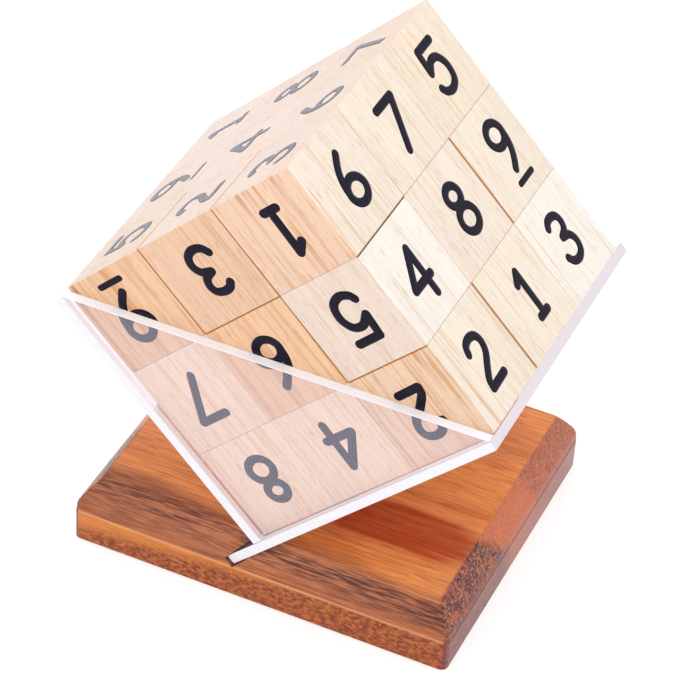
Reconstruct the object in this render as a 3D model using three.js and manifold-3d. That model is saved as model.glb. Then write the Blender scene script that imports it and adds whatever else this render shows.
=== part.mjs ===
// Sudoku cube: twenty-seven rubberwood cubes stacked three by three by three, held edge down in a clear acrylic
// trough that stands in a slanted saw kerf in a moulded hardwood block. Millimetres, +Z up, front towards -Y.
import * as THREE from "three";
import { mergeVertices } from "three/addons/utils/BufferGeometryUtils.js";
import Module from "manifold-3d";

const wasm = await Module();
wasm.setup();

// Wooden cubes
const CUBE = 30;
const CUBE_GAP = 0.3;
const CUBE_EASE = 0.4;
const COUNT = 3;
const PITCH = CUBE + CUBE_GAP;
const STACK = COUNT * PITCH - CUBE_GAP;

// Acrylic trough: sheet thickness and the play that the stack has in it
const SHEET = 3;
const SEAT_GAP = 0.3;
const END_PLAY = 0.9;
const CEMENT_GAP = 0.1;
const SHEET_EASE = 0.2;
const WALL_REACH = SEAT_GAP + STACK;
const TROUGH_INNER = STACK + 2 * END_PLAY;
const TROUGH_DEPTH = TROUGH_INNER + 2 * SHEET;
const TROUGH_ANGLE = -Math.PI / 4;

// Base block: overall size, lip, ledge and the round-over above them
const BASE_WIDTH = 118.6;
const BASE_DEPTH = 101;
const BASE_HEIGHT = 20.9;
const BASE_CORNER = 2.2;
const FOOT_EASE = 0.4;
const LIP_HEIGHT = 10.4;
const LIP_EASE = 0.5;
const LEDGE = 0.4;
const WALL_DRAFT = 0.2;
const WALL_HEIGHT = 2.6;
const ROUND_OVER = 4.9;
// The round-over leaves the wall upright, flattens by this power of its height and meets the top at an edge
const ROUND_CURVE = 1.45;
const INNER_CORNER = 0.5;

// The trough's inside corner line stands at this height over the table, clear of the block's top
const TROUGH_Z = 23.2;
// Saw kerf for the tail of the floor wall: fit on each side, and wood left between its bottom and the ledge
const KERF_FIT = 0.3;
const KERF_FLOOR = 0.1;
const KERF_OVERRUN = 12;
const TAIL = (TROUGH_Z - LIP_HEIGHT - KERF_FLOOR) * Math.SQRT2 - SHEET - 2 * KERF_FIT;

const EASE_STEPS = 3;
const ROUND_STEPS = 8;
const CORNER_STEPS = 5;
const QUARTER = Math.PI / 2;

const rubberwood = new THREE.MeshStandardMaterial({ color: "#e9cfa6", roughness: 0.5, metalness: 0 });
const hardwood = new THREE.MeshStandardMaterial({ color: "#a9602e", roughness: 0.4, metalness: 0 });
const acrylic = new THREE.MeshStandardMaterial({
  color: "#eef2f8",
  roughness: 0.08,
  metalness: 0,
  transparent: true,
  opacity: 0.25,
});

const group = new THREE.Group();
group.name = "sudoku_cube";

// The trough's own frame: its corner line at the origin, +X up along the floor wall and +Z up along the side wall
const trough = new THREE.Group();
trough.name = "trough_frame";
trough.position.z = TROUGH_Z;
trough.rotation.y = TROUGH_ANGLE;
group.add(trough);

function solid(positions, triangles) {
  const geometry = new THREE.BufferGeometry();
  geometry.setAttribute("position", new THREE.Float32BufferAttribute(positions, 3));
  geometry.setIndex(triangles);
  geometry.computeVertexNormals();
  return geometry;
}

function addMesh(parent, name, geometry, material) {
  const mesh = new THREE.Mesh(geometry, material);
  mesh.name = name;
  parent.add(mesh);
  return mesh;
}

// Closed stack of rings with the same count of points, each ring a list of [x, y, z], listed from the bottom up.
// Points of a ring may coincide, as where a chamfer runs out in a corner, and then span no triangle.
function loft(rings) {
  const count = rings[0].length;
  const points = rings.flat();
  const triangles = [];
  const same = (a, b) => points[a].every((value, axis) => value === points[b][axis]);
  const add = (a, b, c) => {
    if (!same(a, b) && !same(b, c) && !same(c, a)) {
      triangles.push(a, b, c);
    }
  };
  for (let level = 0; level + 1 < rings.length; level += 1) {
    for (let at = 0; at < count; at += 1) {
      const here = level * count + at;
      const next = level * count + ((at + 1) % count);
      add(here, next, next + count);
      add(here, next + count, here + count);
    }
  }
  const top = (rings.length - 1) * count;
  for (let at = 1; at + 1 < count; at += 1) {
    add(0, at + 1, at);
    add(top, top + at, top + at + 1);
  }
  return solid(points.flat(), triangles);
}

// Rectangle with rounded corners, centred on the axis, counter-clockwise from above
function roundedRing(width, depth, radius, z) {
  const ring = [];
  const corners = [[1, -1, -QUARTER], [1, 1, 0], [-1, 1, QUARTER], [-1, -1, 2 * QUARTER]];
  for (const [sideX, sideY, start] of corners) {
    for (let step = 0; step <= CORNER_STEPS; step += 1) {
      const angle = start + (QUARTER * step) / CORNER_STEPS;
      const x = sideX * (width / 2 - radius) + radius * Math.cos(angle);
      const y = sideY * (depth / 2 - radius) + radius * Math.sin(angle);
      ring.push([x, y, z]);
    }
  }
  return ring;
}

// Box with every edge cut back by the same small chamfer
function easedBox(width, depth, height, ease) {
  const levels = [[-height / 2, ease], [-height / 2 + ease, 0], [height / 2 - ease, 0], [height / 2, ease]];
  const rings = levels.map(([z, inset]) => {
    const x = width / 2 - inset;
    const y = depth / 2 - inset;
    const cut = ease - inset;
    const ring = [[x, -y + cut, z], [x, y - cut, z], [x - cut, y, z], [-x + cut, y, z]];
    return ring.concat([[-x, y - cut, z], [-x, -y + cut, z], [-x + cut, -y, z], [x - cut, -y, z]]);
  });
  return loft(rings);
}

// Prism standing along Y from a convex outline in X and Z, listed counter-clockwise as seen from the front
function prism(outline, depth) {
  const rings = [depth / 2, -depth / 2].map((y) => outline.map(([x, z]) => [x, y, z]));
  return loft(rings);
}

function rectangle(x0, x1, z0, z1) {
  return [[x0, z0], [x1, z0], [x1, z1], [x0, z1]];
}

function toManifold(geometry) {
  const bare = geometry.clone();
  bare.deleteAttribute("normal");
  bare.deleteAttribute("uv");
  const merged = mergeVertices(bare);
  const mesh = new wasm.Mesh({
    numProp: 3,
    vertProperties: new Float32Array(merged.attributes.position.array),
    triVerts: new Uint32Array(merged.index.array),
  });
  return new wasm.Manifold(mesh);
}

function fromManifold(manifold) {
  const mesh = manifold.getMesh();
  return solid(Array.from(mesh.vertProperties), Array.from(mesh.triVerts));
}

// The block's edge from foot to top: [distance in from the outer faces, height]
function mouldingProfile() {
  const profile = [[FOOT_EASE, 0], [0, FOOT_EASE]];
  for (let step = 0; step <= EASE_STEPS; step += 1) {
    const angle = (QUARTER * step) / EASE_STEPS;
    profile.push([LIP_EASE * (1 - Math.cos(angle)), LIP_HEIGHT - LIP_EASE * (1 - Math.sin(angle))]);
  }
  const ledgeEnd = LIP_EASE + LEDGE;
  const wallTop = LIP_HEIGHT + WALL_HEIGHT;
  profile.push([ledgeEnd, LIP_HEIGHT]);
  for (let step = 0; step <= ROUND_STEPS; step += 1) {
    const rise = step / ROUND_STEPS;
    const inset = ledgeEnd + WALL_DRAFT + ROUND_OVER * rise ** ROUND_CURVE;
    profile.push([inset, wallTop + (BASE_HEIGHT - wallTop) * rise]);
  }
  return profile;
}

const blank = loft(
  mouldingProfile().map(([inset, z]) => {
    const radius = Math.max(BASE_CORNER - inset, INNER_CORNER);
    return roundedRing(BASE_WIDTH - 2 * inset, BASE_DEPTH - 2 * inset, radius, z);
  }),
);
const kerf = prism(
  rectangle(-TAIL - KERF_FIT, KERF_OVERRUN, -SHEET - KERF_FIT, KERF_FIT),
  BASE_DEPTH + 2 * KERF_OVERRUN,
);
trough.updateMatrixWorld(true);
kerf.applyMatrix4(trough.matrixWorld);
addMesh(group, "base_block", fromManifold(toManifold(blank).subtract(toManifold(kerf))), hardwood);

// Floor wall under the stack's lower right side, with the tail that stands in the kerf
const floorWall = easedBox(TAIL + WALL_REACH, TROUGH_DEPTH, SHEET, SHEET_EASE);
floorWall.translate((WALL_REACH - TAIL) / 2, 0, -SHEET / 2);
addMesh(trough, "acrylic_floor_wall", floorWall, acrylic);

// Side wall under the stack's lower left side, cemented on the floor wall
const sideWall = easedBox(SHEET, TROUGH_DEPTH, WALL_REACH - CEMENT_GAP, SHEET_EASE);
sideWall.translate(-SHEET / 2, 0, (WALL_REACH + CEMENT_GAP) / 2);
addMesh(trough, "acrylic_side_wall", sideWall, acrylic);

// Triangular end panels between the two walls, their long edge level
const panelOutline = [[CEMENT_GAP, CEMENT_GAP], [WALL_REACH, CEMENT_GAP], [CEMENT_GAP, WALL_REACH]];
const panelY = TROUGH_INNER / 2 + SHEET / 2;
for (const [name, y] of [["acrylic_front_panel", -panelY], ["acrylic_back_panel", panelY]]) {
  const panel = prism(panelOutline, SHEET);
  panel.translate(0, y, 0);
  addMesh(trough, name, panel, acrylic);
}

// The cubes: layer counts up from the floor wall, place out from the side wall, row from front to back
const centre = (index) => SEAT_GAP + CUBE / 2 + (index - 1) * PITCH;
for (let layer = 1; layer <= COUNT; layer += 1) {
  for (let place = 1; place <= COUNT; place += 1) {
    for (let row = 1; row <= COUNT; row += 1) {
      const cube = easedBox(CUBE, CUBE, CUBE, CUBE_EASE);
      cube.translate(centre(place), centre(row) - SEAT_GAP - STACK / 2, centre(layer));
      addMesh(trough, `cube_l${layer}_p${place}_r${row}`, cube, rubberwood);
    }
  }
}

export default group;
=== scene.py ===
"""Dresses the sudoku cube: rubberwood cubes with printed numerals in an acrylic trough on a moulded hardwood block."""

import math
import random
from functools import partial

import bmesh
import bpy
from mathutils import Euler, Matrix, Vector


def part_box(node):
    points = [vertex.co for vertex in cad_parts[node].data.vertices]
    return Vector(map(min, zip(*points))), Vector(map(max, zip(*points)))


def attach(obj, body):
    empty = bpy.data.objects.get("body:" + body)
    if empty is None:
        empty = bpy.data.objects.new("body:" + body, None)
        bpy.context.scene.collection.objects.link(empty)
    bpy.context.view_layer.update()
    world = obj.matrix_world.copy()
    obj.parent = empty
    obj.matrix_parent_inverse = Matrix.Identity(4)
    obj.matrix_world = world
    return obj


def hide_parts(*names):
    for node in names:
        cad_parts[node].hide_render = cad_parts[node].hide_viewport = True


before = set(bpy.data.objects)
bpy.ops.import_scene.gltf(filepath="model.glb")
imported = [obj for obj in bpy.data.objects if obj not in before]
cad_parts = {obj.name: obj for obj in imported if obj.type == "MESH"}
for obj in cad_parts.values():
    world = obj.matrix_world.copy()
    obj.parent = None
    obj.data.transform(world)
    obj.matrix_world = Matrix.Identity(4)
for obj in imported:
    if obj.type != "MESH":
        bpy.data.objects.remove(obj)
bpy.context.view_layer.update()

bl_info = {
    "name": "Sudoku Cube",
    "version": (1, 0, 0),
    "blender": (4, 5, 0),
    "location": "View3D > Sidebar > Sudoku Cube",
    "description": "Builds a wooden sudoku cube in its acrylic trough and sets a plain studio around it",
    "category": "Add Mesh",
}

MM = 0.001
X, Y, Z = range(3)
COUNT = range(1, 4)
# Every cube's layer up from the floor wall, place out from the side wall and row from front to back
PLACES = [(layer, place, row) for layer in COUNT for place in COUNT for row in COUNT]

# The trough's own frame: +X up along the floor wall, +Z up along the side wall, its corner line at the origin
TROUGH_HEIGHT = 23.2 * MM
TROUGH_TILT = math.radians(-45)
TROUGH_FRAME = Matrix.Translation((0, 0, TROUGH_HEIGHT)) @ Matrix.Rotation(TROUGH_TILT, 4, "Y")
TO_TROUGH = TROUGH_FRAME.inverted()

# Each face of the stack: outward normal, the numerals' reading direction and their upright, in the trough's frame
FACES = {
    "front": (Vector((0, -1, 0)), Vector((-1, 0, 0)), Vector((0, 0, -1))),
    "right": (Vector((1, 0, 0)), Vector((0, 1, 0)), Vector((0, 0, 1))),
    "top": (Vector((0, 0, 1)), Vector((0, 1, 0)), Vector((-1, 0, 0))),
    "left": (Vector((-1, 0, 0)), Vector((0, -1, 0)), Vector((0, 0, 1))),
    "floor": (Vector((0, 0, -1)), Vector((0, 1, 0)), Vector((1, 0, 0))),
    "back": (Vector((0, 1, 0)), Vector((-1, 0, 0)), Vector((0, 0, 1))),
}

# Numerals by face: for each layer by place on the front and back, for each layer by row on the sides, and for each row
# by place on top and floor
NUMBERS = {
    "front": {3: (9, 3, 1), 2: (7, 6, 5), 1: (8, 4, 2)},
    "right": {3: (6, 7, 5), 2: (4, 8, 9), 1: (2, 1, 3)},
    "top": {1: (5, 2, 3), 2: (9, 4, 6), 3: (1, 8, 7)},
    "left": {3: (4, 7, 2), 2: (9, 1, 6), 1: (3, 5, 8)},
    "floor": {1: (7, 1, 8), 2: (3, 6, 2), 3: (9, 4, 5)},
    "back": {3: (6, 1, 4), 2: (2, 9, 7), 1: (5, 8, 3)},
}

# Pen strokes of each numeral, in mm from its middle; a stroke is a smooth path through its points
STROKES = {
    1: (((-2.3, 4.2), (0.5, 7.0)), ((0.5, 7.0), (0.1, -7.0)), ((-2.3, -7.0), (2.4, -7.0))),
    2: (
        (
            (-3.7, 4.4), (-2.5, 6.5), (0.2, 7.2), (2.9, 6.3), (3.8, 3.9), (2.7, 1.0), (-0.6, -2.0), (-3.2, -4.6),
            (-3.9, -7.0),
        ),
        ((-3.9, -7.0), (3.8, -6.8)),
    ),
    3: (
        ((-3.5, 5.5), (-2.1, 6.8), (0.2, 7.1), (2.6, 6.2), (3.4, 4.0), (2.3, 1.6), (-0.5, 0.5)),
        ((-0.5, 0.5), (2.6, -0.5), (4.0, -3.1), (3.1, -5.9), (0.5, -7.2), (-2.4, -6.6), (-4.0, -4.6)),
    ),
    4: (((2.6, 7.2), (-4.8, -2.2)), ((-4.8, -2.3), (4.7, -2.4)), ((2.6, 7.2), (2.3, -7.2))),
    5: (
        ((4.3, 7.3), (-3.6, 7.2)),
        ((-3.6, 7.2), (-4.2, 0.4)),
        ((-4.2, 0.4), (-1.0, 2.8), (2.4, 2.2), (4.1, -1.4), (3.1, -5.5), (-0.2, -7.2), (-3.2, -6.4), (-4.4, -4.8)),
    ),
    6: (
        ((1.5, 7.3), (-1.5, 4.1), (-3.4, 0.4), (-4.0, -3.6)),
        (
            (4.0, -3.6), (2.8, -1.0), (0.0, 0.1), (-2.8, -1.0), (-4.0, -3.6), (-2.8, -6.2), (0.0, -7.3), (2.8, -6.2),
            (4.0, -3.6),
        ),
    ),
    7: (((-4.7, 7.0), (4.5, 7.0)), ((4.5, 7.0), (-3.0, -7.0))),
    8: (
        ((3.3, 4.2), (2.3, 6.3), (0.0, 7.2), (-2.3, 6.3), (-3.3, 4.2), (-2.3, 2.1), (0.0, 1.2), (2.3, 2.1), (3.3, 4.2)),
        (
            (4.1, -3.5), (2.9, -0.8), (0.0, 0.3), (-2.9, -0.8), (-4.1, -3.5), (-2.9, -6.1), (0.0, -7.2), (2.9, -6.1),
            (4.1, -3.5),
        ),
    ),
}
STROKES[9] = tuple(tuple((-x, -y) for x, y in stroke) for stroke in STROKES[6])
# Bar under the nine that tells it from a six, its share of the stroke's width, and how far the nine moves up for it
NINE_BAR = ((-4.0, -11.2), (4.0, -11.2))
NINE_BAR_WEIGHT = 0.72
NINE_LIFT = 1.7
# Height of a drawn numeral with the width of its stroke
DRAWN_HEIGHT = 17.0
# How far the printed numerals sit off the middle of their faces, in mm along the reading direction and the upright
NUDGES = {
    "right": {
        6: (1.8, -0.2), 7: (1.7, -1.3), 5: (0.2, -0.1), 4: (-0.3, -1.4), 8: (1.2, -0.2), 9: (2.0, -0.5),
        2: (-0.3, -0.5), 1: (2.0, -0.5), 3: (-1.0, 0.2),
    },
    "front": {
        9: (1.0, -0.8), 3: (-0.9, -0.3), 1: (-0.9, 0.1), 7: (0.9, 0.1), 6: (0.6, 0.7), 5: (-0.9, -0.5),
        8: (-0.4, 0.0), 4: (-1.3, -0.4), 2: (0.3, 1.2),
    },
}
# Most that the numerals on the other faces, which are drawn by lot, sit off the middle
LOOSE = (0.8, 0.6)
NUMERAL_SEED = 9

# Timbers of the cubes: colour on the flat-sawn sides, which face front and back, and on the paler quarter-sawn ones;
# the paler tone is partly painted light and sheen for the right and top sides
TIMBERS = {
    "sapwood": ("#F2DECF", "#FBF2E8"),
    "cream": ("#FADBC1", "#F8E9DA"),
    "peach": ("#F8D2B7", "#F7E7D7"),
    "blush": ("#F3C9AA", "#F7E6D6"),
    "straw": ("#F4D1B2", "#F7E8D6"),
    "honey": ("#F5C8A2", "#F7E5D0"),
}
# Share of the heartwood figure that shows on the quarter-sawn sides
QUARTER_FIGURE = 0.35
# Rays of the timber show on the sides across them and turn these a little rosier
ROSY = Vector((0.945, 0.862, 0.88))


def linear(colour):
    """sRGB hex to linear red, green, blue and 1."""
    parts = [int(colour[at:at + 2], 16) / 255 for at in (1, 3, 5)]
    return tuple(c / 12.92 if c <= 0.04045 else ((c + 0.055) / 1.055) ** 2.4 for c in parts) + (1.0,)


def length(name, description, default):
    """A length that a user may change, its default in mm."""
    return bpy.props.FloatProperty(name=name, description=description, default=default * MM, unit="LENGTH", precision=4)


def colour(name, description, default):
    """A colour that a user may change, its default in sRGB hex."""
    return bpy.props.FloatVectorProperty(
        name=name, description=description, default=linear(default), size=4, subtype="COLOR", min=0, max=1
    )


class SudokuCubeSizes(bpy.types.PropertyGroup):
    """Sizes of the pieces"""

    cube_edge: length("Cube edge", "Edge of one wooden cube", 30)
    cube_swell: length("Cube swell", "How far a cube's closed sides stand out towards their neighbours", 0.11)
    cube_shrink: length("Cube shrink", "How far a cube's side stands back at an open seam", 0.1)
    cube_ease: length("Cube ease", "Sanded rounding of the cubes' edges", 0.22)
    numeral_height: length("Numeral height", "Height of a printed numeral", 17)
    numeral_stroke: length("Numeral stroke", "Width of the pen stroke", 2.75)
    ink_film: length("Ink film", "How far the ink stands on the wood", 0.05)
    sheet: length("Sheet", "Thickness of the acrylic", 3)
    sheet_ease: length("Sheet ease", "Broken edge of the sawn acrylic", 0.2)
    wall_reach: length("Wall reach", "From the trough's corner line to a wall's free edge", 90.9)
    wall_tail: length("Wall tail", "Floor wall's tail past the corner line, standing in the kerf", 14.36)
    trough_depth: length("Trough depth", "Trough from front to back", 98.4)
    cement: length("Cement", "Cement line between sheets", 0.1)


class SudokuCubeColours(bpy.types.PropertyGroup):
    """Colours of the materials"""

    line: colour("Growth line", "Tint of the rubberwood's thin growth lines", "#EAD5B2")
    pore: colour("Pore", "Tint of the rubberwood's open pores", "#DDBC9E")
    streak: colour("Streak", "Tint of the rubberwood's heartwood streaks", "#DFB588")
    # Painted shade: the golden brown stands for the shade and the warm light bounced between cubes inside a seam, laid
    # on the eased edges beside it
    seam: colour("Seam edge", "Rubberwood browned along a seam", "#C88A48")
    ink: colour("Ink", "Printed numerals", "#17151E")
    base_light: colour("Base light", "Orange ground of the base timber", "#F69852")
    base_mid: colour("Base mid", "Red clouds of the base timber", "#B84412")
    base_dark: colour("Base dark", "Dark dashes of the base timber", "#521C10")
    base_tan: colour("Base tan", "Ground between the close dark dashes", "#C06E42")
    # Painted highlight: the pale line stands for the light that the lip's top edge catches
    lip_highlight: colour("Lip edge", "Pale line where the lip meets the round-over", "#F2B884")
    lip_light: colour("Lip light", "Orange ground of the lip", "#DE8238")
    lip_red: colour("Lip red", "Red figure of the lip", "#863010")
    end_red: colour("End red", "Red zones of the end grain", "#D06C40")
    base_end: colour("End dark", "Dark zones of the end grain", "#62292A")
    # Partly painted sheen: the end grain's own darker red on the lip, greyed towards mauve for the lacquer's grazing
    # reflection of the white room
    end_lip_sheen: colour("End lip", "Burnished end grain of the lip", "#8E4846")
    base_fleck: colour("End fleck", "Pale flecks in the end grain", "#CC937A")
    acrylic: colour("Acrylic", "Tint of the clear sheet", "#FDF9FF")
    sawn: colour("Sawn edge", "Frosted free edges of the sheet", "#E6DDE4")
    flush: colour("Flush edge", "Edges sanded flush after cementing", "#FAF9FF")
    floor: colour("Floor", "Studio floor", "#FFFFFF")


class SudokuCubeStage(bpy.types.PropertyGroup):
    """Light and lens of the studio"""

    world: bpy.props.FloatProperty(name="Room light", description="Strength of the even light", default=1.0)
    top: bpy.props.FloatProperty(name="Top light", description="Overhead softbox", default=1.1, unit="POWER")
    fill: bpy.props.FloatProperty(name="Front light", description="Softbox from the front", default=1.2, unit="POWER")
    lens: bpy.props.FloatProperty(name="Lens", description="Focal length in mm", default=161.56)


SETTINGS = {"sudoku_sizes": SudokuCubeSizes, "sudoku_colours": SudokuCubeColours, "sudoku_stage": SudokuCubeStage}


def add_node(tree, kind, sockets, out=0, **options):
    """Adds a node with its options, fills or links its sockets, in order or by name, and gives one of its outputs."""
    new = tree.nodes.new("ShaderNode" + kind)
    for option, value in options.items():
        setattr(new, option, value)
    named = sockets if isinstance(sockets, dict) else dict(enumerate(sockets))
    for name, value in named.items():
        if isinstance(value, bpy.types.NodeSocket):
            tree.links.new(value, new.inputs[name])
        else:
            new.inputs[name].default_value = value
    return new.outputs[out] if new.outputs else None


def new_material(name):
    """An empty material and the function that adds a node to it."""
    material = bpy.data.materials.new(name)
    material.use_nodes = True
    material.node_tree.nodes.clear()
    return material, partial(add_node, material.node_tree)


# Rubberwood, sawn, sanded and lacquered satin: a pale even ground with fine straight fibres, thin darker growth lines,
# short tan pore dashes along the grain and a few golden heartwood streaks, under a lacquer that shines at a low angle.
# Each cube carries its own place in the plank and its own colours.
def rubberwood_satin(colours):
    material, node = new_material("rubberwood_sanded_satin_lacquer")
    place = node("Attribute", (), "Vector", attribute_name="plank_place")
    tone = node("Attribute", (), "Vector", attribute_name="timber_tone")
    figure = node("Attribute", (), "Fac", attribute_name="timber_figure")
    # The plank's length is Z, and the patterns are drawn out along it. Growth bands are about 5 mm wide, thin lines
    # 1 mm and streaks 4 mm. Fibres of 0.5 mm and pores of 0.4 mm are as coarse as they need to show.
    drawn = node("VectorMath", (place, (1, 1, 0.03)), operation="MULTIPLY")
    dashed = node("VectorMath", (place, (1, 1, 0.1)), operation="MULTIPLY")
    bands = node("TexNoise", {"Vector": drawn, "Scale": 1 / (5 * MM), "Detail": 3.0, "Distortion": 0.4})
    lines = node("TexNoise", {"Vector": drawn, "Scale": 1 / MM, "Detail": 2.0, "Distortion": 0.3})
    fibres = node("TexNoise", {"Vector": drawn, "Scale": 1 / (0.5 * MM), "Detail": 2.0})
    pores = node("TexNoise", {"Vector": dashed, "Scale": 1 / (0.4 * MM), "Detail": 1.0, "Roughness": 0.4})
    streaks = node("TexNoise", {
        "Vector": drawn, "Scale": 1 / (4 * MM), "Detail": 5.0, "Roughness": 0.7, "Distortion": 0.3,
    })
    band_shade = node("MapRange", (bands, 0.3, 0.7, 1.035, 0.955))
    fibre_shade = node("MapRange", (fibres, 0.3, 0.7, 1.03, 0.95))
    shade = node("Math", (band_shade, fibre_shade), operation="MULTIPLY")
    timber = node("VectorMath", {0: tone, "Scale": shade}, operation="SCALE")
    line = node("MapRange", (lines, 0.56, 0.68))
    line_share = node("MapRange", (figure, 0.0, 1.0, 0.45, 1.0))
    line = node("Math", (line, line_share), operation="MULTIPLY")
    streak = node("MapRange", (streaks, 0.53, 0.68))
    streak = node("Math", (streak, figure), operation="MULTIPLY")
    pore = node("MapRange", (pores, 0.62, 0.72, 0.0, 0.5))
    for share, tint in ((line, colours.line), (streak, colours.streak), (pore, colours.pore)):
        sockets = {0: share, 6: timber, 7: tuple(tint)}
        timber = node("Mix", sockets, 2, data_type="RGBA", blend_type="MULTIPLY")
    dents = node("Bump", {"Height": pores, "Strength": 0.1, "Distance": 0.05 * MM}, invert=True)
    surface = node("BsdfPrincipled", {
        "Base Color": timber, "Roughness": node("MapRange", (fibres, 0.0, 1.0, 0.38, 0.52)), "Normal": dents,
        "IOR": 1.45, "Coat Weight": 0.35, "Coat Roughness": 0.3,
    })
    node("OutputMaterial", (surface,))
    return material


# The ink's colour where the screen laid it thin, and the tints of its gloss and of its sheen
INK_THIN, INK_GLOSS, INK_SHEEN = "#332C33", "#C4BCF0", "#9A86FF"


# Screen-printed ink: nearly black with a violet cast and a low sheen that greys it at a low angle, a little thin in
# places
def printed_ink(colours):
    material, node = new_material("ink_screen_printed")
    place = node("TexCoord", (), "Object")
    mottle = node("TexNoise", {"Vector": place, "Scale": 1 / (1.1 * MM), "Detail": 3.0})
    thin = node("MapRange", (mottle, 0.5, 0.85, 0.0, 0.22))
    tint = node("Mix", {0: thin, 6: tuple(colours.ink), 7: linear(INK_THIN)}, 2, data_type="RGBA")
    surface = node("BsdfPrincipled", {
        "Base Color": tint, "Roughness": node("MapRange", (mottle, 0.0, 1.0, 0.1, 0.2)), "IOR": 1.27,
        "Specular Tint": linear(INK_GLOSS),
        "Sheen Weight": 0.15, "Sheen Tint": linear(INK_SHEEN), "Sheen Roughness": 0.3,
    })
    node("OutputMaterial", (surface,))
    return material


# Middle of the red cloud on the base's top and its half lengths along the block's axes
PATCH_AT = (33 * MM, -22 * MM, 20 * MM)
PATCH_SIZE = (30 * MM, 11 * MM, 30 * MM)
# Height of the block's lip, and its half length and half depth, by which the figure is laid out
LIP_TOP, HALF_LENGTH, HALF_DEPTH = 10.4 * MM, 59 * MM, 50 * MM


# Monkeypod, routed and lacquered satin. The top shows an orange ground with slow red clouds and fine dark lines along
# the block, the round-overs in front and behind cut a layer of close dark dashes, the lip shows a red mottle that rises
# into the orange, and the ends show dark and red zones of end grain under a fine pale speckle.
def monkeypod_lacquered(colours):
    material, node = new_material("monkeypod_routed_satin_lacquer")
    place = node("TexCoord", (), "Object")
    x, y, z = node("SeparateXYZ", (place,)).node.outputs
    facing = node("SeparateXYZ", (place.node.outputs["Normal"],), "X")
    # The block's length is X, and the patterns are drawn out along it. Clouds are about 20 mm wide, streaks 2 mm and
    # the mottle 1.1 mm. Fibres and dashes of 0.5 mm and flecks of 0.6 mm are as coarse as they need to show.
    drawn = node("VectorMath", (place, (0.05, 1, 1)), operation="MULTIPLY")
    dashed = node("VectorMath", (place, (0.07, 1, 1)), operation="MULTIPLY")
    wavy = node("VectorMath", (place, (0.4, 1, 1)), operation="MULTIPLY")
    short = node("VectorMath", (place, (0.6, 1, 1)), operation="MULTIPLY")
    clouds = node("TexNoise", {"Vector": wavy, "Scale": 1 / (22 * MM), "Detail": 3.0, "Distortion": 0.6})
    streaks = node("TexNoise", {
        "Vector": drawn, "Scale": 1 / (2 * MM), "Detail": 4.0, "Roughness": 0.6, "Distortion": 0.5,
    })
    fibres = node("TexNoise", {"Vector": drawn, "Scale": 1 / (0.5 * MM), "Detail": 2.0})
    dashes = node("TexNoise", {"Vector": dashed, "Scale": 1 / (0.5 * MM), "Detail": 2.0})
    mottle = node("TexNoise", {"Vector": short, "Scale": 1 / (1.1 * MM), "Detail": 2.0, "Distortion": 0.6})
    flecks = node("TexNoise", {"Vector": place, "Scale": 1 / (0.6 * MM), "Detail": 1.5})

    # Top: orange with red clouds whose edges run out along the grain
    from_patch = node("VectorMath", (place, PATCH_AT), operation="SUBTRACT")
    from_patch = node("VectorMath", (from_patch, [1 / size for size in PATCH_SIZE]), operation="MULTIPLY")
    from_patch = node("VectorMath", (from_patch,), "Value", operation="LENGTH")
    frayed = node("Math", (streaks, 0.6, clouds), operation="MULTIPLY_ADD")
    patch = node("Math", (from_patch, frayed), operation="SUBTRACT")
    patch = node("MapRange", (patch, -0.2, 0.3, 1.0, 0.0))
    veins = node("MapRange", (streaks, 0.36, 0.58, 0.78, 1.0))
    patch = node("Math", (patch, veins), operation="MULTIPLY")
    wisps = node("MapRange", (frayed, 0.72, 0.98, 0.0, 0.55))
    cloud = node("Math", (patch, wisps), operation="MAXIMUM")
    ground = node("Mix", {0: cloud, 6: tuple(colours.base_light), 7: tuple(colours.base_mid)}, 2, data_type="RGBA")
    loose = node("MapRange", (dashes, 0.54, 0.72, 0.0, 0.42))
    top = node("Mix", {0: loose, 6: ground, 7: tuple(colours.base_dark)}, 2, data_type="RGBA")

    # Dark layer of close dashes, measured up the moulding from the lip: high on the left and low on the right
    inward = node("Math", (y,), operation="ABSOLUTE")
    inward = node("Math", (HALF_DEPTH, inward), operation="SUBTRACT")
    upward = node("Math", (z, LIP_TOP), operation="SUBTRACT")
    climb = node("Math", (upward, inward), operation="ADD")
    climb = node("Math", (clouds, -10 * MM, climb), operation="MULTIPLY_ADD")
    crest = node("MapRange", (x, -40 * MM, 50 * MM, 11 * MM, 3 * MM))
    over = node("Math", (climb, crest), operation="SUBTRACT")
    layer = node("MapRange", (over, 5 * MM, 10 * MM, 1.0, 0.0))
    dark = node("Math", (over,), operation="ABSOLUTE")
    dark = node("MapRange", (dark, 2 * MM, 8 * MM, 1.0, 0.5))
    close = node("MapRange", (dashes, 0.34, 0.58))
    bundles = node("MapRange", (streaks, 0.36, 0.54, 0.4, 1.0))
    close = node("Math", (close, bundles), operation="MULTIPLY")
    close = node("Math", (close, dark), operation="MULTIPLY")
    striped = node("Mix", {0: close, 6: tuple(colours.base_tan), 7: tuple(colours.base_dark)}, 2, data_type="RGBA")
    slope = node("Mix", {0: layer, 6: top, 7: striped}, 2, data_type="RGBA")

    # Lip: red figure that rises from the foot into the orange, all over it on the right, and a painted highlight along
    # its top edge
    red = node("MapRange", (x, -HALF_LENGTH, HALF_LENGTH, 5 * MM, 15 * MM))
    red = node("Math", (red, z), operation="SUBTRACT")
    red = node("MapRange", (red, -2 * MM, 2 * MM))
    spots = node("MapRange", (mottle, 0.36, 0.62, 0.35, 1.0))
    red = node("Math", (red, spots), operation="MULTIPLY")
    lip = node("Mix", {0: red, 6: tuple(colours.lip_light), 7: tuple(colours.lip_red)}, 2, data_type="RGBA")
    over_lip = node("MapRange", (z, 10.5 * MM, 11.2 * MM))
    long_side = node("Mix", {0: over_lip, 6: lip, 7: slope}, 2, data_type="RGBA")
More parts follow.
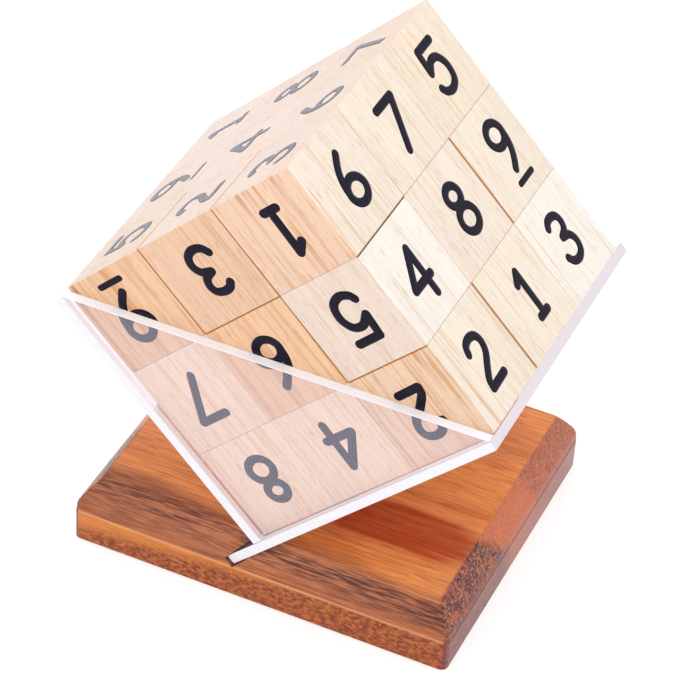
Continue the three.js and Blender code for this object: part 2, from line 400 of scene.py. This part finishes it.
    # Painted highlight: a pale line along the top of the lip on the long sides, for the light that this edge catches
    edge = node("Math", (z, 10.7 * MM), operation="SUBTRACT")
    edge = node("Math", (edge,), operation="ABSOLUTE")
    edge = node("MapRange", (edge, 0.1 * MM, 0.6 * MM, 0.6, 0.0))
    long_side = node("Mix", {0: edge, 6: long_side, 7: tuple(colours.lip_highlight)}, 2, data_type="RGBA")

    # Ends: a dark zone towards the front and a weaker one behind, a darker, greyer red on the lip and just above it
    # that is partly painted sheen, and flecked most above it
    ring = node("Math", (z, 0.7, y), operation="MULTIPLY_ADD")
    ring = node("Math", (ring, 10.5 * MM), operation="SUBTRACT")
    ring = node("Math", (ring,), operation="ABSOLUTE")
    ring = node("Math", (clouds, 40 * MM, ring), operation="MULTIPLY_ADD")
    zone = node("MapRange", (ring, 31 * MM, 36 * MM))
    bundles = node("MapRange", (streaks, 0.38, 0.52, 0.35, 1.0))
    zone = node("Math", (zone, bundles), operation="MULTIPLY")
    behind = node("MapRange", (y, -10 * MM, 10 * MM, 1.0, 0.45))
    zone = node("Math", (zone, behind), operation="MULTIPLY")
    end = node("Mix", {0: zone, 6: tuple(colours.end_red), 7: tuple(colours.base_end)}, 2, data_type="RGBA")
    low = node("MapRange", (z, 10 * MM, 14 * MM, 1.0, 0.0))
    # Partly painted sheen: the lip and the strip above it take the greyed mauve red that stands for the lacquer's
    # grazing reflection
    lip_sheen = node("Math", (low, 0.55), operation="MULTIPLY")
    end = node("Mix", {0: lip_sheen, 6: end, 7: tuple(colours.end_lip_sheen)}, 2, data_type="RGBA")
    fleck = node("MapRange", (flecks, 0.5, 0.64))
    for share in ((low, 0.0, 1.0, 0.7, 0.15), (zone, 0.0, 1.0, 0.6, 1.0)):
        fleck = node("Math", (fleck, node("MapRange", share)), operation="MULTIPLY")
    end = node("Mix", {0: fleck, 6: end, 7: tuple(colours.base_fleck)}, 2, data_type="RGBA")

    across = node("Math", (facing,), operation="ABSOLUTE")
    across = node("MapRange", (across, 0.2, 0.6))
    outer = node("Math", (x,), operation="ABSOLUTE")
    outer = node("MapRange", (outer, 57.7 * MM, 58.1 * MM))
    at_end = node("Math", (across, outer), operation="MAXIMUM")
    timber = node("Mix", {0: at_end, 6: long_side, 7: end}, 2, data_type="RGBA")
    fibre_shade = node("MapRange", (fibres, 0.3, 0.7, 1.12, 0.84))
    timber = node("VectorMath", {0: timber, "Scale": fibre_shade}, operation="SCALE")
    dents = node("Bump", {"Height": dashes, "Strength": 0.15, "Distance": 0.08 * MM}, invert=True)
    surface = node("BsdfPrincipled", {
        "Base Color": timber, "Roughness": node("MapRange", (fibres, 0.0, 1.0, 0.26, 0.4)), "Normal": dents,
        "IOR": 1.42,
    })
    node("OutputMaterial", (surface,))
    return material


# Tint of the gloss on the clear sheet
ACRYLIC_GLOSS = "#D6D6FF"


# Cast acrylic: clear and glossy with a faint bluish haze; lamps shine through it onto the wood behind. Where it is
# cemented to its neighbour, light goes on into that without bending, and the cement whitens the joint.
def acrylic_clear(name, colours, index, clearness):
    material, node = new_material(name)
    surface = node("BsdfPrincipled", {
        "Base Color": tuple(colours.acrylic), "Roughness": 0.03, "IOR": index, "Transmission Weight": clearness,
        "Specular Tint": linear(ACRYLIC_GLOSS),
    })
    clear = node("BsdfTransparent", ((1, 1, 1, 1),))
    ray = node("LightPath", ()).node.outputs
    passes = node("Math", (ray["Is Shadow Ray"], ray["Is Diffuse Ray"]), operation="MAXIMUM")
    node("OutputMaterial", (node("MixShader", (passes, surface, clear)),))
    return material


# Acrylic as the saw leaves it: frosted, pale and slightly lilac against the white around it; where an edge is sanded
# flush it is nearly white, because the sheet gathers light and lets it out there
def acrylic_edge(name, tint):
    material, node = new_material(name)
    place = node("TexCoord", (), "Object")
    scratches = node("TexNoise", {"Vector": place, "Scale": 1 / (0.9 * MM), "Detail": 2.0})
    rough = node("MapRange", (scratches, 0.0, 1.0, 0.4, 0.65))
    surface = node("BsdfPrincipled", {"Base Color": tint, "Roughness": rough, "IOR": 1.4})
    node("OutputMaterial", (surface,))
    return material


def seen_by_eye(node):
    """1 for a ray that shows the studio to the eye, also in a gloss or through clear sheet, and 0 for the others."""
    ray = node("LightPath", ()).node.outputs
    seen = node("Math", (ray["Is Camera Ray"], ray["Is Glossy Ray"]), operation="MAXIMUM")
    return node("Math", (seen, ray["Is Transmission Ray"]), operation="MAXIMUM")


# Seamless studio paper: white to the eye, with the object's soft shadow on it, and a plain matt white to the light
def studio_floor(colours):
    material, node = new_material("studio_paper_matt")
    paper = node("BsdfDiffuse", ((0.8, 0.8, 0.8, 1),))
    glow = node("Emission", (tuple(colours.floor), 0.6))
    shaded = node("BsdfDiffuse", ((0.55, 0.55, 0.55, 1),))
    white = node("AddShader", (glow, shaded))
    node("OutputMaterial", (node("MixShader", (seen_by_eye(node), paper, white)),))
    return material


def add_piece(mesh, name, body, materials, nodes=()):
    """Makes the finished mesh a piece of the object that moves with a body."""
    mesh.name = name
    for material in materials:
        mesh.materials.append(material)
    piece = bpy.data.objects.new(name, mesh)
    bpy.context.scene.collection.objects.link(piece)
    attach(piece, body)
    if nodes:
        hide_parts(*nodes)


def to_mesh(bm):
    """The bmesh as a mesh, and no longer as a bmesh."""
    mesh = bpy.data.meshes.new("shape")
    bm.to_mesh(mesh)
    bm.free()
    return mesh


# Sanding takes most of the step between the lip and the round-over: how far in from the block's side a point of the
# routed moulding lies, and how far in it lies once sanded, in mm
SANDED = ((0.0, 0.0), (0.5, 0.02), (0.9, 0.12), (1.1, 0.35), (1.34, 0.85), (1.756, 1.6), (2.282, 2.282))
SANDED_FROM, SANDED_TO = 9.8 * MM, 16 * MM
BLOCK_CORNER = 2.2 * MM
# Points nearer than this are one, faces that turn less than this are one, and edges that turn more are sharp
SAME_POINT = 0.002 * MM
SAME_PLANE = math.radians(0.5)
BLOCK_SHARP = math.radians(32)


def sanded_in(inset):
    """Distance in from the block's side after sanding, in metres."""
    for (low, start), (high, end) in zip(SANDED, SANDED[1:]):
        if low <= inset / MM <= high:
            return (start + (end - start) * (inset / MM - low) / (high - low)) * MM
    return inset


class OBJECT_OT_sudoku_base(bpy.types.Operator):
    """Moulded hardwood block with the slanted saw kerf for the trough"""

    bl_idname = "object.sudoku_base"
    bl_label = "Base Block"

    def execute(self, context):
        bm = bmesh.new()
        bm.from_mesh(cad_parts["base_block"].data)
        bmesh.ops.remove_doubles(bm, verts=bm.verts, dist=SAME_POINT)
        self.sand_step(bm)
        bmesh.ops.dissolve_limit(bm, angle_limit=SAME_PLANE, verts=bm.verts, edges=bm.edges)
        for face in bm.faces:
            face.smooth = True
        mesh = to_mesh(bm)
        mesh.set_sharp_from_angle(angle=BLOCK_SHARP)
        wood = monkeypod_lacquered(context.scene.sudoku_colours)
        add_piece(mesh, "monkeypod_block", "stand", [wood], ["base_block"])
        return {"FINISHED"}

    def sand_step(self, bm):
        """Brings the moulding over the lip out to its sanded shape, square to the block's sides and rounded corners."""
        reach = [max(vert.co[axis] for vert in bm.verts) - BLOCK_CORNER for axis in (X, Y)]
        for vert in bm.verts:
            if SANDED_FROM < vert.co.z < SANDED_TO:
                core = Vector([max(-far, min(far, at)) for at, far in zip(vert.co.xy, reach)])
                away = vert.co.xy - core
                if away.length > 0:
                    vert.co.xy = core + away.normalized() * (BLOCK_CORNER - sanded_in(BLOCK_CORNER - away.length))


# Directions in the trough's frame in which a sheet is cemented to its neighbour
DOWN = Vector((0, 0, -1))
INWARD = Vector((-1, 0, 0))
# Order of the materials on a sheet
CAST, SAWN, FLUSH, CEMENTED = range(4)
# Refraction and clearness of the sheet's faces and of its cemented joints
CAST_OPTICS, CEMENT_OPTICS = (1.49, 0.935), (1.0, 0.35)
# How much of its normal a face has along a joint's direction, across the sheet or along the trough to belong there
AT_JOINT, AT_SIDE, AT_FRONT = 0.7, 0.99, 0.5
SHEET_EASE_STEPS = 2


class OBJECT_OT_sudoku_trough(bpy.types.Operator):
    """Clear floor wall with its tail, side wall and the two triangular end panels"""

    bl_idname = "object.sudoku_trough"
    bl_label = "Acrylic Trough"

    def execute(self, context):
        sizes, colours = context.scene.sudoku_sizes, context.scene.sudoku_colours
        materials = [
            acrylic_clear("acrylic_cast_glossy", colours, *CAST_OPTICS),
            acrylic_edge("acrylic_sawn_frosted", tuple(colours.sawn)),
            acrylic_edge("acrylic_sanded_flush", tuple(colours.flush)),
            acrylic_clear("acrylic_solvent_cemented", colours, *CEMENT_OPTICS),
        ]
        reach, tail, depth = sizes.wall_reach, sizes.wall_tail, sizes.trough_depth
        sheet, cement = sizes.sheet, sizes.cement
        # Size, middle, axis across the sheet and cemented sides of each wall
        walls = {
            "floor_wall": ((reach + tail, depth, sheet), ((reach - tail) / 2, 0, -sheet / 2), Z, ()),
            "side_wall": ((sheet, depth, reach - cement), (-sheet / 2, 0, (reach + cement) / 2), X, (DOWN,)),
        }
        for name, (size, middle, across, joints) in walls.items():
            bm = bmesh.new()
            bmesh.ops.create_cube(bm, size=1)
            bmesh.ops.scale(bm, vec=size, verts=bm.verts)
            bmesh.ops.translate(bm, vec=middle, verts=bm.verts)
            self.finish(bm, name, across, joints, sizes, materials)
        for name, front in {"front_panel": -depth / 2, "back_panel": depth / 2 - sheet}.items():
            bm = bmesh.new()
            corners = [(cement, cement), (reach, cement), (cement, reach)]
            face = bm.faces.new([bm.verts.new((x, front, z)) for x, z in corners])
            grown = bmesh.ops.extrude_face_region(bm, geom=[face])
            moved = [part for part in grown["geom"] if isinstance(part, bmesh.types.BMVert)]
            bmesh.ops.translate(bm, vec=(0, sheet, 0), verts=moved)
            bmesh.ops.recalc_face_normals(bm, faces=bm.faces)
            self.finish(bm, name, Y, (DOWN, INWARD), sizes, materials)
        return {"FINISHED"}

    def finish(self, bm, name, across, joints, sizes, materials):
        """Breaks the edges, tells clear faces and cemented edges from free ones and sets the sheet in its place."""
        bmesh.ops.bevel(
            bm, geom=bm.edges[:], offset=sizes.sheet_ease, offset_type="OFFSET", affect="EDGES",
            segments=SHEET_EASE_STEPS, profile=0.5, material=-1, clamp_overlap=True,
        )
        bm.normal_update()
        for face in bm.faces:
            if any(face.normal.dot(joint) > AT_JOINT for joint in joints):
                face.material_index = CEMENTED
            elif abs(face.normal[across]) >= AT_SIDE:
                face.material_index = CAST
            elif across == Z and abs(face.normal.y) < AT_FRONT:
                face.material_index = SAWN
            else:
                face.material_index = FLUSH
        bmesh.ops.transform(bm, matrix=TROUGH_FRAME, verts=bm.verts)
        add_piece(to_mesh(bm), "clear_" + name, "stand", materials, ["acrylic_" + name])


# Seams that stand open in the stack, as pairs of (layer, place, row)
OPEN_SEAMS = (((2, 3, 2), (2, 3, 3)), ((1, 3, 1), (1, 3, 2)))
# Seams along which the edges are painted with the seam's shade, with the axes that these painted edges face and the
# factor on the painted colour
FRONT, RIGHT, FRONT_AND_TOP = (Y,), (X,), (Y, Z)
SHADED_SEAMS = (
    (((2, 3, 2), (2, 3, 3)), RIGHT, 1.0),
    (((1, 3, 1), (1, 3, 2)), RIGHT, 1.0),
    (((3, 3, 1), (2, 3, 1)), RIGHT, 0.45),
    (((3, 1, 1), (3, 2, 1)), FRONT_AND_TOP, 1.0),
    (((3, 2, 1), (3, 3, 1)), FRONT_AND_TOP, 1.0),
    (((3, 2, 1), (2, 2, 1)), FRONT, 1.0),
    (((2, 2, 1), (2, 3, 1)), FRONT, 1.0),
    (((2, 3, 1), (1, 3, 1)), FRONT, 1.0),
)
# Timber, heartwood figure from 0 to 1 and grain direction of the cubes that are seen best; the others are drawn by lot
TIMBER = {
    (3, 1, 1): ("honey", 0.9, Z), (3, 2, 1): ("blush", 0.12, Z), (3, 3, 1): ("peach", 0.9, Z),
    (2, 1, 1): ("cream", 0.25, Z), (2, 2, 1): ("honey", 0.5, Z), (2, 3, 1): ("sapwood", 0.12, Z),
    (1, 1, 1): ("cream", 0.2, Z), (1, 2, 1): ("cream", 0.3, Z), (1, 3, 1): ("straw", 0.9, Z),
    (3, 3, 2): ("straw", 0.2, Z), (3, 3, 3): ("honey", 0.3, Z), (2, 3, 2): ("peach", 0.2, Z),
    (2, 3, 3): ("straw", 0.15, Z), (1, 3, 2): ("straw", 0.2, Z), (1, 3, 3): ("sapwood", 0.1, Z),
}
# For the lot: range of the figure, grain directions, size in metres of the timber that all are cut from, and seed
FIGURES = (0.1, 0.4)
GRAINS = (Y, Z, Z)
PLANK_SIZE = 4
TIMBER_SEED = 27
# How much of its normal a face has along a side's axis: at least this on the side, and between these on its eased edges
FLAT_SIDE = 0.9
EASED_LEAST, EASED_MOST = 0.2, 0.98
CUBE_EASE_STEPS = 3
CUBE_SHARP = math.radians(40)


def cube_name(place):
    """Ending of the names of the cube's node, body and pieces."""
    return "l{}_p{}_r{}".format(*place)


def cube_middle(name):
    """Middle of a cube's CAD node in the trough's frame."""
    low, high = (Vector(corner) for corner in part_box("cube_" + name))
    return TO_TROUGH @ ((low + high) / 2)


class OBJECT_OT_sudoku_cubes(bpy.types.Operator):
    """Twenty-seven sanded wooden cubes, each from its own piece of timber"""

    bl_idname = "object.sudoku_cubes"
    bl_label = "Wooden Cubes"

    def execute(self, context):
        sizes, colours = context.scene.sudoku_sizes, context.scene.sudoku_colours
        wood = rubberwood_satin(colours)
        lot = random.Random(TIMBER_SEED)
        for place in PLACES:
            low, high = self.corners(place, self.sides_at(place, OPEN_SEAMS), sizes)
            bm = bmesh.new()
            bmesh.ops.create_cube(bm, size=1)
            bmesh.ops.scale(bm, vec=high - low, verts=bm.verts)
            bmesh.ops.translate(bm, vec=(high + low) / 2, verts=bm.verts)
            bmesh.ops.bevel(
                bm, geom=bm.edges[:], offset=sizes.cube_ease, offset_type="OFFSET", affect="EDGES",
                segments=CUBE_EASE_STEPS, profile=0.5, material=-1, clamp_overlap=True,
            )
            for face in bm.faces:
                face.smooth = True
            drawn = (lot.choice(sorted(TIMBERS)), lot.uniform(*FIGURES), lot.choice(GRAINS))
            offset = Vector([lot.uniform(0, PLANK_SIZE) for axis in (X, Y, Z)])
            timber, figure, along = TIMBER.get(place, drawn)
            self.mark_timber(bm, [Vector(linear(tone)[:3]) for tone in TIMBERS[timber]], figure, along, offset)
            # Painted shade along the seams, on the eased edges that face the given axes
            for seam, towards, shade in SHADED_SEAMS:
                self.paint_seam_shade(bm, self.sides_at(place, (seam,)), Vector(colours.seam[:3]) * shade, towards)
            name = cube_name(place)
            bmesh.ops.translate(bm, vec=cube_middle(name), verts=bm.verts)
            bmesh.ops.transform(bm, matrix=TROUGH_FRAME, verts=bm.verts)
            mesh = to_mesh(bm)
            mesh.set_sharp_from_angle(angle=CUBE_SHARP)
            add_piece(mesh, "rubberwood_cube_" + name, "cube_" + name, [wood], ["cube_" + name])
        return {"FINISHED"}

    def sides_at(self, place, seams):
        """Sides of the cube at one of the seams, as axis and sign in the trough's frame."""
        found = []
        for axis, step in {X: (0, 1, 0), Y: (0, 0, 1), Z: (1, 0, 0)}.items():
            for sign in (-1, 1):
                beside = tuple(at + sign * by for at, by in zip(place, step))
                if (place, beside) in seams or (beside, place) in seams:
                    found.append((axis, sign))
        return found

    def corners(self, place, open_sides, sizes):
        """Lowest and highest corner of the cube about its middle, in the trough's frame."""
        low, high = (Vector([sign * sizes.cube_edge / 2] * 3) for sign in (-1, 1))
        layer, column, row = place
        for axis, index in ((X, column), (Y, row), (Z, layer)):
            for sign, corner in ((-1, low), (1, high)):
                if index + sign in COUNT:
                    corner[axis] += sign * (-sizes.cube_shrink if (axis, sign) in open_sides else sizes.cube_swell)
        return low, high

    def mark_timber(self, bm, tones, figure, along, offset):
        """Writes where the cube was cut from the plank, whose length is Z there, and its colours and figure."""
        place_layer = bm.verts.layers.float_vector.new("plank_place")
        figure_layer = bm.faces.layers.float.new("timber_figure")
        tone_layer = bm.faces.layers.float_vector.new("timber_tone")
        for vert in bm.verts:
            turned = vert.co if along == Z else Vector((vert.co.x, vert.co.z, vert.co.y))
            vert[place_layer] = turned + offset
        bm.normal_update()
        for face in bm.faces:
            # Front and back sides take the first tone and the rest the paler one, which is partly painted light and
            # sheen for the sides that face the light
            front_or_back_face = abs(face.normal.y) > FLAT_SIDE
            face[figure_layer] = figure if front_or_back_face else figure * QUARTER_FIGURE
            tone = tones[0] if front_or_back_face else tones[1]
            face[tone_layer] = tone * ROSY if abs(face.normal.z) > FLAT_SIDE else tone

    def paint_seam_shade(self, bm, sides, tone, towards):
        """Paints the seam's shade on the eased edges of the given sides where they turn towards one of the given axes.
        """
        tone_layer = bm.faces.layers.float_vector["timber_tone"]
        for face in bm.faces:
            for axis, sign in sides:
                turned = any(abs(face.normal[other]) > EASED_LEAST for other in towards if other != axis)
                if turned and EASED_LEAST < face.normal[axis] * sign < EASED_MOST:
                    face[tone_layer] = tone


# Steps between two points of a stroke and around its round end
PATH_STEPS = 6
CAP_STEPS = 4
# A stroke's round end stops just short of a quarter turn, where it would close to a point
CAP_ANGLE = math.radians(86)
PEN_RESOLUTION = 2


def smooth_path(points):
    """Points along a smooth curve through the given ones, as evenly curved as a pen stroke."""
    points = [Vector(point) for point in points]
    if len(points) == 2:
        return points
    closed = points[0] == points[-1]
    before = points[-2] if closed else 2 * points[0] - points[1]
    after = points[1] if closed else 2 * points[-1] - points[-2]
    held = [before, *points, after]
    path = []
    for a, b, c, d in zip(held, held[1:], held[2:], held[3:]):
        for step in range(PATH_STEPS):
            t = step / PATH_STEPS
            path.append(
                0.5 * (2 * b + (c - a) * t + (2 * a - 5 * b + 4 * c - d) * t * t + (3 * b - a - 3 * c + d) * t ** 3)
            )
    return path if closed else path + [points[-1]]


def pen_stroke(curve, points, radius):
    """Adds one stroke with round ends to a curve, in the units of the points."""
    closed = points[0] == points[-1]
    path = [(point, 1.0) for point in smooth_path(points)]
    if not closed:
        first, last = path[0][0], path[-1][0]
        out_first = (first - path[1][0]).normalized()
        out_last = (last - path[-2][0]).normalized()
        for step in range(1, CAP_STEPS + 1):
            angle = step / CAP_STEPS * CAP_ANGLE
            path.insert(0, (first + out_first * radius * math.sin(angle), math.cos(angle)))
            path.append((last + out_last * radius * math.sin(angle), math.cos(angle)))
    spline = curve.splines.new("POLY")
    spline.use_cyclic_u = closed
    spline.points.add(len(path) - 1)
    for point, (at, width) in zip(spline.points, path):
        point.co = (at.x, at.y, 0, 1)
        point.radius = width * radius


def numeral_shape(number, sizes):
    """A numeral as a flat film of ink, upright in X and Y about its middle, in metres."""
    curve = bpy.data.curves.new("numeral", "CURVE")
    curve.dimensions = "3D"
    curve.bevel_depth = 1
    curve.bevel_resolution = PEN_RESOLUTION
    curve.use_fill_caps = True
    scale = sizes.numeral_height / DRAWN_HEIGHT
    radius = sizes.numeral_stroke / scale / 2
    lift = NINE_LIFT if number == 9 else 0
    for stroke in STROKES[number]:
        pen_stroke(curve, [(x, y + lift) for x, y in stroke], radius)
    if number == 9:
        pen_stroke(curve, [(x, y + lift) for x, y in NINE_BAR], radius * NINE_BAR_WEIGHT)
    drawn = bpy.data.objects.new("numeral", curve)
    mesh = bpy.data.meshes.new_from_object(drawn)
    bpy.data.objects.remove(drawn)
    bpy.data.curves.remove(curve)
    mesh.transform(Matrix.Diagonal((scale, scale, sizes.ink_film / radius, 1)))
    return mesh


def numbers_on(place):
    """The faces on which this cube shows a numeral, with the numeral."""
    layer, column, row = place
    first, last = COUNT[0], COUNT[-1]
    shown = {
        "front": (row == first, layer, column), "back": (row == last, layer, column),
        "right": (column == last, layer, row), "left": (column == first, layer, row),
        "top": (layer == last, row, column), "floor": (layer == first, row, column),
    }
    return {face: NUMBERS[face][line][at - 1] for face, (outer, line, at) in shown.items() if outer}


class OBJECT_OT_sudoku_numerals(bpy.types.Operator):
    """Printed numerals on the outer faces of the cubes"""

    bl_idname = "object.sudoku_numerals"
    bl_label = "Printed Numerals"

    def execute(self, context):
        sizes = context.scene.sudoku_sizes
        ink = printed_ink(context.scene.sudoku_colours)
        shapes = {number: numeral_shape(number, sizes) for number in STROKES}
        lot = random.Random(NUMERAL_SEED)
        for place in PLACES:
            faces = numbers_on(place)
            if not faces:
                continue
            name = cube_name(place)
            bm = bmesh.new()
            for face, number in sorted(faces.items()):
                normal, right, up = FACES[face]
                drawn = [lot.uniform(-most, most) for most in LOOSE]
                across, rise = NUDGES.get(face, {}).get(number, drawn)
                nudge = (right * across + up * rise) * MM
                frame_of_face = Matrix((right, up, normal)).transposed().to_4x4()
                frame_of_face.translation = cube_middle(name) + normal * sizes.cube_edge / 2 + nudge
                placed = shapes[number].copy()
                placed.transform(TROUGH_FRAME @ frame_of_face)
                bm.from_mesh(placed)
                bpy.data.meshes.remove(placed)
            for face in bm.faces:
                face.smooth = True
            add_piece(to_mesh(bm), "numerals_" + name, "cube_" + name, [ink])
        for shape in shapes.values():
            bpy.data.meshes.remove(shape)
        return {"FINISHED"}


# Half the studio floor's side, in metres, and how far it lies under the object's foot
FLOOR_HALF = 6
FLOOR_DROP = 0.1 * MM
# Strength setting, place and diameter of each softbox, in metres, and the point that they face
SOFTBOXES = {
    "softbox_top": ("top", (0.25, -0.1, 1.1), 0.9),
    "softbox_front": ("fill", (-0.35, -1.1, 0.6), 0.8),
}
LIT_POINT = Vector((0, 0, 0.08))
CAMERA_AT = Vector((254.28, -627.0, 614.06)) * MM
CAMERA_TURN = (math.radians(90 - 39.241), 0, math.radians(22.097))
CAMERA_ROLL = math.radians(4.127)
SENSOR_WIDTH = 36


class SCENE_OT_sudoku_stage(bpy.types.Operator):
    """White studio floor, room light, softboxes and the camera"""

    bl_idname = "scene.sudoku_stage"
    bl_label = "Studio Stage"

    def execute(self, context):
        scene, stage = context.scene, context.scene.sudoku_stage
        bm = bmesh.new()
        bmesh.ops.create_grid(bm, x_segments=1, y_segments=1, size=FLOOR_HALF)
        bmesh.ops.translate(bm, vec=(0, 0, -FLOOR_DROP), verts=bm.verts)
        mesh = to_mesh(bm)
        mesh.materials.append(studio_floor(scene.sudoku_colours))
        floor = bpy.data.objects.new("studio_floor", mesh)
        scene.collection.objects.link(floor)

        world = bpy.data.worlds.new("studio_room")
        world.use_nodes = True
        world.node_tree.nodes.clear()
        node = partial(add_node, world.node_tree)
        strength = node("MapRange", {"Value": seen_by_eye(node), "To Min": stage.world, "To Max": 1.0})
        node("OutputWorld", (node("Background", ((1, 1, 1, 1), strength)),))
        scene.world = world

        for name, (setting, at, size) in SOFTBOXES.items():
            lamp = bpy.data.lights.new(name, "AREA")
            lamp.shape, lamp.size, lamp.energy = "DISK", size, getattr(stage, setting)
            light = bpy.data.objects.new(name, lamp)
            light.location = at
            light.rotation_euler = (LIT_POINT - Vector(at)).to_track_quat("-Z", "Y").to_euler()
            scene.collection.objects.link(light)

        view = bpy.data.cameras.new("photo_view")
        view.lens, view.sensor_width = stage.lens, SENSOR_WIDTH
        camera = bpy.data.objects.new("photo_view", view)
        turn = Euler(CAMERA_TURN).to_matrix() @ Matrix.Rotation(CAMERA_ROLL, 3, "Z")
        camera.matrix_world = Matrix.Translation(CAMERA_AT) @ turn.to_4x4()
        scene.collection.objects.link(camera)
        scene.camera = camera
        scene.view_settings.view_transform = "Standard"
        return {"FINISHED"}


OPERATORS = (
    OBJECT_OT_sudoku_base,
    OBJECT_OT_sudoku_trough,
    OBJECT_OT_sudoku_cubes,
    OBJECT_OT_sudoku_numerals,
    SCENE_OT_sudoku_stage,
)


class VIEW3D_PT_sudoku_cube(bpy.types.Panel):
    """Settings and steps of the sudoku cube"""

    bl_idname = "VIEW3D_PT_sudoku_cube"
    bl_label = "Sudoku Cube"
    bl_space_type = "VIEW_3D"
    bl_region_type = "UI"
    bl_category = "Sudoku Cube"

    def draw(self, context):
        for pointer, group in SETTINGS.items():
            box = self.layout.box()
            for name in group.__annotations__:
                box.prop(getattr(context.scene, pointer), name)
        for operator in OPERATORS:
            self.layout.operator(operator.bl_idname)


CLASSES = (*SETTINGS.values(), *OPERATORS, VIEW3D_PT_sudoku_cube)


def register():
    for cls in CLASSES:
        bpy.utils.register_class(cls)
    for pointer, group in SETTINGS.items():
        setattr(bpy.types.Scene, pointer, bpy.props.PointerProperty(type=group))


def unregister():
    for pointer in SETTINGS:
        delattr(bpy.types.Scene, pointer)
    for cls in reversed(CLASSES):
        bpy.utils.unregister_class(cls)


def main():
    register()
    bpy.ops.object.sudoku_base()
    bpy.ops.object.sudoku_trough()
    bpy.ops.object.sudoku_cubes()
    bpy.ops.object.sudoku_numerals()
    bpy.ops.scene.sudoku_stage()


if __name__ == "__main__":
    main()
